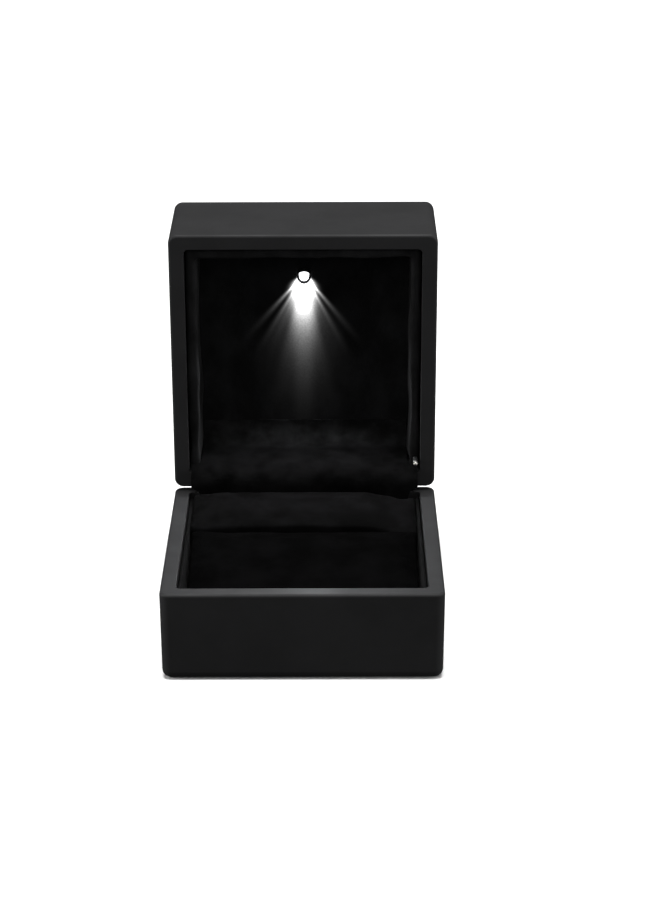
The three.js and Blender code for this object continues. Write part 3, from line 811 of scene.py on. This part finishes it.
def puff(piece, low, high, pressure, cap, floor):
    """Swells a piece by cloth pressure. It stays between two corners, and the points under floor stay put."""
    settle(piece, Matrix.Scale(SIM_SCALE, 4))
    start = [v.co.copy() for v in piece.data.vertices]
    held = piece.vertex_groups.new(name="held")
    held.add([v.index for v in piece.data.vertices if v.co.z < floor * SIM_SCALE], 1.0, "REPLACE")
    cloth = piece.modifiers.new("cloth", "CLOTH")
    settings = cloth.settings
    settings.quality = 6
    settings.mass = 0.4
    settings.tension_stiffness = settings.compression_stiffness = 18
    settings.bending_stiffness = 1.2
    settings.use_pressure = True
    settings.uniform_pressure_force = pressure
    settings.vertex_group_mass = held.name
    settings.effector_weights.gravity = 0
    for number in range(1, SIM_STEPS + 1):
        bpy.context.scene.frame_set(number)
    only(piece)
    bpy.ops.object.modifier_apply(modifier=cloth.name)
    for vertex, rest in zip(piece.data.vertices, start):
        moved = vertex.co - rest
        if moved.length > cap * SIM_SCALE:
            moved *= cap * SIM_SCALE / moved.length
        vertex.co = rest + moved
    piece.vertex_groups.clear()
    bpy.context.scene.frame_set(1)
    settle(piece, Matrix.Scale(1 / SIM_SCALE, 4))
    for vertex in piece.data.vertices:
        vertex.co.x *= END_PRESS
        for axis in range(3):
            vertex.co[axis] = min(max(vertex.co[axis], low[axis]), high[axis])

# %% [markdown]
# The rear cushion sags to its right end, and a little to its left one. The front one is nearly even.
# A soft step says where a dip starts and ends, so that it leaves no edge.

# %% Shapes of the tops
def gentle(value, low, high):
    """A smooth rise from 0 to 1 between low and high."""
    t = min(max((value - low) / (high - low), 0), 1)
    return t * t * (3 - 2 * t)


def rear_crest(co):
    """The rear cushion's top dips towards its right end, and a little at its left one."""
    top = gentle(co.z, 12 * MM, 21 * MM)
    right = gentle(co.x, 14 * MM, 26 * MM)
    left = gentle(-co.x, 20 * MM, 26.5 * MM)
    fold = noise.noise(co / (3.2 * MM)) * (0.25 + right * 0.6) * 0.5
    return top * MM * (-1.9 * right - 0.8 * left + fold)


def front_top(co):
    top = gentle(co.z, 10 * MM, 15 * MM)
    return top * 0.25 * MM * noise.noise(co / (7 * MM))

# %% [markdown]
# Each cushion is remeshed to small even faces, swollen, given the dips of its own top, and subdivided once.

# %% Ring cushions
def cushion(name, node, wider, fill, top_front, top_rear, shape_top, finish):
    low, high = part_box(node)
    low, high = low - wider, high + wider
    piece = cushion_block(name, low.y, high.y, top_front, top_rear, high.x)
    round_over(piece, high.x)
    modify(piece, "REMESH", mode="VOXEL", voxel_size=0.8 * MM)
    modify(piece, "SMOOTH", factor=0.5, iterations=3)
    ceiling = high + Vector((0, 0, 1.3 * MM))
    puff(piece, low, ceiling, pressure=4.0, cap=0.9 * MM, floor=6 * MM)
    for vertex in piece.data.vertices:
        vertex.co.z += shape_top(vertex.co)
    modify(piece, "SUBSURF", levels=1, render_levels=1)
    smooth(piece, 80, weighted=False)
    shown_for(piece, "base", node, finish)


FRONT_WIDER, REAR_WIDER = Vector((0.75, 0.4, 0)) * MM, Vector((0.75, 0, 0)) * MM
FRONT_TOP, REAR_TOP = (14.6 * MM, 20.7 * MM), (21.8 * MM, 24.1 * MM)
cushion("front_ring_cushion", "front_cushion_cover", FRONT_WIDER, 0.7, *FRONT_TOP, front_top, FRONT_VELVET)
cushion("rear_ring_cushion", "rear_cushion_cover", REAR_WIDER, 0.8, *REAR_TOP, rear_crest, REAR_VELVET)

# %% [markdown]
# Under each velvet cap is its foam core, a block of the same shape about two millimetres smaller.
# It follows the dips of the cap above it, so that it never shows through.

# %% Foam cores
def foam():
    finish = Finish("grey_foam", Specular_IOR_Level=0.15)
    pores = finish.pores(0.45 * MM)
    tone = finish.between(pores, 0.1, 0.6)
    finish.set(Base_Color=finish.blend(tone, (0.02, 0.02, 0.023, 1), (0.055, 0.055, 0.06, 1)))
    finish.set(Roughness=finish.between(pores, 0.1, 0.6, 0.98, 0.9))
    return finish.bump(pores, 0.12 * MM, 0.8)


FOAM = foam()
FOAM_BELOW = 3.2 * MM
front_foam_top = (11.6 * MM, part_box("front_cushion_cover")[1].z - FOAM_BELOW)
rear_foam_top = (17.6 * MM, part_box("rear_cushion_cover")[1].z - FOAM_BELOW)
for name, node, tops, shape_top in (
    ("front_foam_core", "front_cushion_foam", front_foam_top, front_top),
    ("rear_foam_core", "rear_cushion_foam", rear_foam_top, rear_crest),
):
    low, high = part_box(node)
    core = cushion_block(name, low.y + 1.2 * MM, high.y - 1.2 * MM, *tops, high.x - 1.4 * MM)
    modify(core, "REMESH", mode="VOXEL", voxel_size=1.2 * MM)
    modify(core, "SMOOTH", factor=0.5, iterations=2)
    for vertex in core.data.vertices:
        vertex.co.z += shape_top(vertex.co)
    smooth(core, 60, weighted=False)
    shown_for(core, "base", node, FOAM)

# %% [markdown]
# A velvet flap hides the hinge. It runs up the rear wall of the base, over the hinge, back along
# the lid's rear wall and up in a cove to the lamp panel. Its path is worked out first, seen from the side.
# A cloth simulation could drape it, but the flap is glued at both ends, so its path is known.

# %% The flap's path
FLAP_R = 4.5 * MM
COVE_R = 5.6 * MM
FLAP_FOOT = 6 * MM
LID_RUN = 10.3 * MM


def flap_route():
    """The flap's path as (y, z) points, drawn open."""
    y0, wall_top = HINGE.y - FLAP_R, HINGE.z
    route = [(y0, FLAP_FOOT + i * (wall_top - FLAP_FOOT) / 12) for i in range(13)]
    for i in range(1, 15):
        a = math.pi - i / 14 * OPEN_ANGLE
        route.append((HINGE.y + FLAP_R * math.cos(a), HINGE.z + FLAP_R * math.sin(a)))
    climb = math.pi / 2 - OPEN_ANGLE
    y1, z1 = route[-1]
    for i in range(1, 10):
        run = i / 9 * LID_RUN
        route.append((y1 + run * math.cos(climb), z1 + run * math.sin(climb)))
    y2, z2 = route[-1]
    for i in range(1, 13):
        a = climb + i / 12 * (math.pi / 2 - climb)
        turn_y, turn_z = math.sin(a) - math.sin(climb), math.cos(climb) - math.cos(a)
        route.append((y2 + COVE_R * turn_y, z2 + COVE_R * turn_z))
    return route


# %% [markdown]
# The flap starts as one narrow strip, and its far edge is pulled along the path step by step.
# It is a little wider over the hinge, where no wall holds it in. Noise of two sizes gives it soft waves,
# and it gets its thickness last, so that both faces wave together.

# %% The flap's strip
FLAP_HALF, FLAP_HALF_AT_HINGE = 25.8 * MM, 28.2 * MM


def crosswise(edge):
    """True for an edge that runs straight across the flap."""
    a, b = (v.co for v in edge.verts)
    return same(a.y, b.y) and same(a.z, b.z)


def hinge_flap():
    route = flap_route()
    bpy.ops.object.select_all(action="DESELECT")
    bpy.ops.mesh.primitive_plane_add(size=1, location=(0, 0, 0))
    piece = bpy.context.object
    piece.name = piece.data.name = "hinge_flap_velvet"
    ends = [Vector((0, *route[0])), Vector((0, *route[1]))]
    for vertex in piece.data.vertices:
        end = ends[0] if vertex.co.y < 0 else ends[1]
        vertex.co = Vector((math.copysign(FLAP_HALF, vertex.co.x), end.y, end.z))
    edit(piece)
    pick(piece, "EDGE", lambda e: level(e, ends[1].z))
    for (ya, za), (yb, zb) in zip(route[1:], route[2:]):
        bpy.ops.mesh.extrude_region_move(TRANSFORM_OT_translate={"value": (0, yb - ya, zb - za)})
    pick(piece, "EDGE", crosswise)
    bpy.ops.mesh.subdivide(number_cuts=79)
    leave()
    for vertex in piece.data.vertices:
        before = gentle(vertex.co.z, HINGE.z - 2 * MM, HINGE.z)
        behind = gentle(vertex.co.y, HINGE.y, HINGE.y + 2 * MM)
        vertex.co.x *= 1 + before * (1 - behind) * (FLAP_HALF_AT_HINGE / FLAP_HALF - 1)
    ripple(piece, 7 * MM, 0.5 * MM, 5.3)
    ripple(piece, 2.6 * MM, 0.16 * MM, 2.2)
    modify(piece, "SOLIDIFY", thickness=0.6 * MM, offset=0)
    smooth(piece, 60, weighted=False)
    return piece


flap = hinge_flap()
print(flap.name + ":", len(flap.data.polygons), "faces")

# %% [markdown]
# The cove's lighter tone is painted light: the flat part takes the overhead light and gets a darker velvet,
# and the upright cove, which gets little of it, a lighter one.
# Two velvets on one strip would meet in a hard line, so one velvet passes softly between the two tones.

# %% The flap's velvet
def flap_velvet():
    finish = velvet("flap_velvet", sheen=0.004, gloss=0.01)
    # painted light: the upright cove gets the lighter velvet, as little of the overhead light reaches it
    painted_cove_mask = finish.between(finish.along("Y"), HINGE.y + 8 * MM, HINGE.y + 14.5 * MM)
    nap = finish.between(finish.noise(6 * MM, detail=4, roughness=0.6), 0.3, 0.72)
    flat_tone = finish.blend(nap, (0.0013, 0.0013, 0.0013, 1), (0.0040, 0.0040, 0.0041, 1))
    painted_cove_tone = finish.blend(nap, (0.0068, 0.0068, 0.0068, 1), (0.0185, 0.0185, 0.019, 1))
    finish.set(Base_Color=finish.blend(painted_cove_mask, flat_tone, painted_cove_tone))
    return finish.material


flap.data.materials.append(flap_velvet())
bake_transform(flap)
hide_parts("hinge_flap")

# %% [markdown]
# The rest is the hardware: steel, brass and plastic. Bare metal is brushed along one way and wears
# in patches, so its roughness has two patterns. Painted, moulded and printed parts have one grain each.

# %% Hardware finishes
def metal(name, dark, light, smooth_rough, dull_rough):
    finish = Finish(name, Metallic=1.0)
    grain = finish.noise(0.12 * MM, detail=3, stretch=(0.15, 1, 1))
    wear = finish.noise(3 * MM, detail=3)
    finish.set(Base_Color=finish.blend(wear, (*dark, 1), (*light, 1)))
    finish.set(Roughness=finish.between(wear * 0.5 + grain * 0.5, 0.3, 0.7, smooth_rough, dull_rough))
    return finish.bump(grain, 0.006 * MM, 0.5)


def plain(name, dark, light, rough, grain_size, depth, **constants):
    finish = Finish(name, **constants)
    grain = finish.noise(grain_size, detail=4, roughness=0.6)
    finish.set(Base_Color=finish.blend(finish.between(grain, 0.3, 0.7), (*dark, 1), (*light, 1)))
    finish.set(Roughness=finish.between(grain, 0.3, 0.7, rough, rough + 0.12))
    return finish.bump(grain, depth, 0.6)


NICKEL = metal("nickel_steel", (0.46, 0.45, 0.42), (0.58, 0.57, 0.54), 0.28, 0.42)
SPRING = metal("spring_steel", (0.24, 0.24, 0.25), (0.36, 0.36, 0.37), 0.32, 0.45)
BRASS = metal("brass_contact", (0.5, 0.32, 0.1), (0.64, 0.43, 0.15), 0.3, 0.45)
card_tones = ((0.009, 0.009, 0.01), (0.02, 0.02, 0.021))
CARD = plain("black_card", *card_tones, 0.85, 0.5 * MM, 0.03 * MM, Specular_IOR_Level=0.2)
BOARD = plain("green_board", (0.014, 0.09, 0.03), (0.026, 0.15, 0.05), 0.35, 0.6 * MM, 0.01 * MM)
CERAMIC = plain("black_ceramic", (0.008, 0.008, 0.008), (0.016, 0.016, 0.016), 0.5, 0.2 * MM, 0.01 * MM)
RED = plain("red_insulation", (0.3, 0.012, 0.01), (0.4, 0.018, 0.014), 0.4, 0.5 * MM, 0.01 * MM)
BLACK = plain("black_insulation", (0.006, 0.006, 0.006), (0.011, 0.011, 0.011), 0.4, 0.5 * MM, 0.01 * MM)
print("hardware finishes:", [m.name for m in (NICKEL, SPRING, BRASS, CARD, BOARD, CERAMIC, RED, BLACK)])

# %% [markdown]
# Pieces that only need a finish keep their shape from the frame. They are plain blocks and wires,
# so drawing them again would add nothing. All but the cards and the leads have their sharp edges eased,
# because a moulded or cut edge is never quite sharp.

# %% Pieces kept from the frame
def finish_node(name, material, ease):
    """Gives a CAD node its finish, and eases its sharp edges when ease is above zero."""
    node = frame["nodes"][name]
    node.data.materials.clear()
    node.data.materials.append(material)
    if ease:
        eased = node.modifiers.new("eased", "BEVEL")
        eased.width, eased.segments, eased.limit_method = ease, 2, "ANGLE"


KEPT = (
    ("insert_card", CARD, 0.0),
    ("lamp_panel_card", CARD, 0.0),
    ("lamp_board", BOARD, 0.1 * MM),
    ("lamp_resistor", CERAMIC, 0.08 * MM),
    ("battery_tray", PLASTIC, 0.15 * MM),
    ("battery_inner_contact", BRASS, 0.05 * MM),
    ("battery_side_contact", BRASS, 0.05 * MM),
    ("switch_body", PLASTIC, 0.15 * MM),
    ("lamp_lead", RED, 0.0),
    ("switch_lead", RED, 0.0),
    ("return_lead", BLACK, 0.0),
)
for name, material, ease in KEPT:
    finish_node(name, material, ease)
print("pieces kept from the frame:", len(KEPT))

# %% [markdown]
# Each hinge leaf is sheet steel: a plate on the wall, arms over the rim, and knuckles rolled round the pin.
# Bending one sheet round the pin would be truer to how it is made, but joined blocks and cylinders
# give the same outline with clean holes. The bore and the screw holes are cut before the edges are eased.

# %% Hinge leaves
KNUCKLE_R, BORE_R, LEAF = 1.05 * MM, 0.5 * MM, 0.6 * MM
LEAF_Y = IN_D - SLIP - LEAF
HINGE_HALF = 20 * MM
SCREW_X = 12 * MM
BASE_SCREW_Z, LID_SCREW_Z = 13 * MM, 31 * MM
BASE_KNUCKLES = [(-20 * MM, -14 * MM), (14 * MM, 20 * MM)]
LID_KNUCKLES = [(-13.7 * MM, -5 * MM), (5 * MM, 13.7 * MM)]


def hinge_leaf(name, node, body, side, spans, screw_z):
    """side is -1 for the base leaf, which hangs down, and 1 for the lid leaf."""

    def slab(x0, x1, y1, near, far):
        z0, z1 = sorted((HINGE.z + side * near * MM, HINGE.z + side * far * MM))
        return block("slab", (x0, LEAF_Y, z0), (x1, y1, z1))

    piece = slab(-HINGE_HALF, HINGE_HALF, LEAF_Y + LEAF, 2.3 if side < 0 else 0.35, 14)
    piece.name = piece.data.name = name
    for x0, x1 in spans:
        combine(piece, slab(x0, x1, LEAF_Y + LEAF, 0.35, 4), "UNION")
        combine(piece, slab(x0, x1, HINGE.y - BORE_R, 0.35, 0.95), "UNION")
        combine(piece, rod("knuckle", KNUCKLE_R, (x0, HINGE.y, HINGE.z), (x1, HINGE.y, HINGE.z), 40), "UNION")
    bore = rod("bore", BORE_R, (-22 * MM, HINGE.y, HINGE.z), (22 * MM, HINGE.y, HINGE.z))
    combine(piece, bore, "DIFFERENCE")
    for x in (-SCREW_X, SCREW_X):
        start, end = (x, LEAF_Y - MM, screw_z), (x, LEAF_Y + 2 * MM, screw_z)
        combine(piece, rod("hole", 1.1 * MM, start, end), "DIFFERENCE")
    modify(piece, "BEVEL", width=0.06 * MM, segments=2, limit_method="ANGLE", angle_limit=math.radians(40))
    smooth(piece)
    if body == "lid":
        settle(piece, OPEN)
    shown_for(piece, body, node, NICKEL)


hinge_leaf("base_leaf", "hinge_base_leaf", "base", -1, BASE_KNUCKLES, BASE_SCREW_Z)
hinge_leaf("lid_leaf", "hinge_lid_leaf", "lid", 1, LID_KNUCKLES, LID_SCREW_Z)

# %% [markdown]
# The pin is a turned rod, and its ends are peened over so that it can't slide out.

# %% Hinge pin
ALONG_X = Matrix.Translation((0, HINGE.y, HINGE.z)) @ Matrix.Rotation(math.pi / 2, 4, "Y")
peened = [(0.45, 20.0), (0.44, 20.15), (0.3, 20.28), (0, 20.3)]
pin_profile = [(r, -h) for r, h in reversed(peened)] + peened
pin = turned_piece("hinge_pin_turned", in_mm(pin_profile), 32)
smooth(pin, 40)
settle(pin, ALONG_X)
shown_for(pin, "base", "hinge_pin", NICKEL)

# %% [markdown]
# Springs are wire. A wire is a path of points that gets a round section, and a coil is a path that winds.
# The screw modifier could wind one too, but it can't add the two straight legs.

# %% Wire
def wire(name, points, radius):
    """A round wire along a path of points."""
    data = bpy.data.curves.new(name, "CURVE")
    data.dimensions = "3D"
    line = data.splines.new("POLY")
    line.points.add(len(points) - 1)
    for point, place in zip(line.points, points):
        point.co = (*place, 1)
    data.bevel_depth, data.bevel_resolution, data.use_fill_caps = radius, 2, True
    piece = bpy.data.objects.new(name, data)
    bpy.context.scene.collection.objects.link(piece)
    only(piece)
    bpy.ops.object.convert(target="MESH")
    piece = bpy.context.object
    bpy.ops.object.shade_smooth()
    return piece


def coil(radius, start, end, turns):
    """Points round the Z axis from one height to another, twenty to a turn."""
    points = []
    for i in range(20 * turns + 1):
        a = 2 * math.pi * i / 20
        height = start + (end - start) * i / (20 * turns)
        points.append(Vector((radius * math.cos(a), radius * math.sin(a), height)))
    return points

# %% [markdown]
# The snap spring sits round the pin. One leg leans on the base, the other on the lid.
# The switch's spring is a short coil round its rod, and pushes the rod out again.

# %% Springs
SNAP_HALF = 4.3 * MM
turns = [ALONG_X @ p for p in coil(0.86 * MM, -SNAP_HALF, SNAP_HALF, 20)]
base_leg = [Vector((-SNAP_HALF, HINGE.y - 2.6 * MM, HINGE.z - 0.86 * MM))]
lid_leg = [Vector((SNAP_HALF, HINGE.y - 0.8 * MM, HINGE.z + 2.5 * MM))]
snap = wire("snap_spring_wire", base_leg + turns + lid_leg, 0.17 * MM)
shown_for(snap, "base", "hinge_snap_spring", SPRING)

ROD_PLACE = Matrix.Translation((27.6 * MM, 25.9 * MM, 0))
spring_turns = [ROD_PLACE @ p for p in coil(0.86 * MM, 42.75 * MM, 44.6 * MM, 5)]
return_spring = wire("switch_return_spring", spring_turns, 0.12 * MM)
settle(return_spring, OPEN)
shown_for(return_spring, "lid", "switch_spring", SPRING)

# %% [markdown]
# The screws are pan heads with a cross recess. The head and the shank are turned in one profile,
# and two thin blocks cut the cross. A true thread winds round the shank, but rings of the same depth
# look the same at this size and close cleanly.

# %% Screws
THREAD_PITCH = 0.4


def pan_screw(name, node, body, place, length):
    profile = [(0, -0.6), (0.7, -0.58), (1.2, -0.48), (1.5, -0.28), (1.6, -0.06), (1.58, 0), (0.8, 0.04)]
    ridges = int((length - 0.9) / THREAD_PITCH)
    for i in range(ridges):
        up = THREAD_PITCH * i
        profile += [(0.8, 0.3 + up), (0.66, 0.5 + up)]
    profile += [(0.6, length - 0.4), (0, length)]
    piece = turned_piece(name, in_mm(profile), 32)
    for half_x, half_y in ((0.95, 0.17), (0.17, 0.95)):
        slot = block("slot", (-half_x * MM, -half_y * MM, -MM), (half_x * MM, half_y * MM, -0.28 * MM))
        combine(piece, slot, "DIFFERENCE")
    smooth(piece, 40, weighted=False)
    settle(piece, place)
    shown_for(piece, body, node, NICKEL)


INTO_WALL = Matrix.Rotation(-math.pi / 2, 4, "X")
HEAD_Y = LEAF_Y - 0.02 * MM
for side, x in (("left", -SCREW_X), ("right", SCREW_X)):
    at_base = Matrix.Translation((x, HEAD_Y, BASE_SCREW_Z)) @ INTO_WALL
    at_lid = OPEN @ Matrix.Translation((x, HEAD_Y, LID_SCREW_Z)) @ INTO_WALL
    at_tray = OPEN @ Matrix.Translation((math.copysign(14.2 * MM, x), 4 * MM, LID_TOP_Z - 4.12 * MM))
    pan_screw(f"base_screw_{side}", f"base_hinge_screw_{side}", "base", at_base, 3.2)
    pan_screw(f"lid_screw_{side}", f"lid_hinge_screw_{side}", "lid", at_lid, 3.2)
    pan_screw(f"tray_fixing_{side}", f"tray_screw_{side}", "lid", at_tray, 2.6)

# %% [markdown]
# The switch rod reaches out of the lid, and the base pushes it in when the lid shuts. It is black plastic
# with a bright steel tip. One turned piece could carry both, but as two pieces each has a finish of its own.

# %% Switch rod
tip_profile = [(0, 19.4), (0.3, 19.46), (0.52, 19.7), (0.58, 20.0), (0.58, 20.6), (0, 20.6)]
stem_shoulder = [(0.6, 42.1), (1.0, 42.12), (1.02, 42.2), (1.02, 42.55), (0.6, 42.6)]
stem_profile = [(0, 20.62), (0.6, 20.62)] + stem_shoulder + [(0.6, 45.2), (0, 45.2)]
for name, profile, slot, material in (
    ("switch_rod_tip", tip_profile, "nickel_steel", NICKEL),
    ("switch_rod_stem", stem_profile, "black_plastic", PLASTIC),
):
    piece = turned_piece(name, in_mm(profile), 32)
    smooth(piece, 40, weighted=False)
    settle(piece, OPEN @ ROD_PLACE)
    shown_for(piece, "switch_rod", "switch_rod", material)

# %% [markdown]
# Two coin cells lie one on the other in the tray. A cell is a can with a rolled edge round a smaller cap,
# and both show in one turned profile.

# %% Coin cells
CELL_R, CELL_HEIGHT, CELL_PITCH = 8.0, 1.6, 1.75
LOWER_CELL_Z = 42.2
cap = [(0, 0), (6.9, 0), (7.08, 0.06), (7.15, 0.25)]
rolled_edge = [(7.3, 0.32), (7.75, 0.36), (7.95, 0.5), (CELL_R, 0.7)]
can = [(CELL_R, 1.35), (7.9, 1.55), (7.7, CELL_HEIGHT), (0, CELL_HEIGHT)]
for index, name in enumerate(("lower", "upper")):
    foot = LOWER_CELL_Z + CELL_PITCH * index
    profile = [(r, foot + h) for r, h in cap + rolled_edge + can]
    piece = turned_piece(f"coin_cell_{name}", in_mm(profile), 96)
    smooth(piece, 30)
    settle(piece, OPEN @ Matrix.Translation((0, 4 * MM, 0)))
    shown_for(piece, "lid", f"battery_cell_{name}", NICKEL)

# %% [markdown]
# The floor is a plain pale sheet, just below the box so that the two never fight for the same place.
# A real white table would throw light up the black walls. This one sends none back to the box.

# %% Floor
bpy.ops.object.select_all(action="DESELECT")
bpy.ops.mesh.primitive_plane_add(size=6, location=(0, 0, -0.02 * MM))
floor = bpy.context.object
floor.name = "floor"
pale = Finish("pale_floor", Roughness=0.9, Specular_IOR_Level=0.0)
pale.set(Base_Color=(0.9, 0.9, 0.9, 1))
floor.data.materials.append(pale.material)
floor.visible_diffuse = False
floor.visible_glossy = False
floor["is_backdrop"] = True
print("floor", [round(side, 2) for side in floor.dimensions[:2]], "m")

# %% [markdown]
# Last, the size of the finished box is printed.

# %% Sizes and end
low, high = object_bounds()
print("size in mm:", [round((b - a) / MM, 1) for a, b in zip(low, high)])
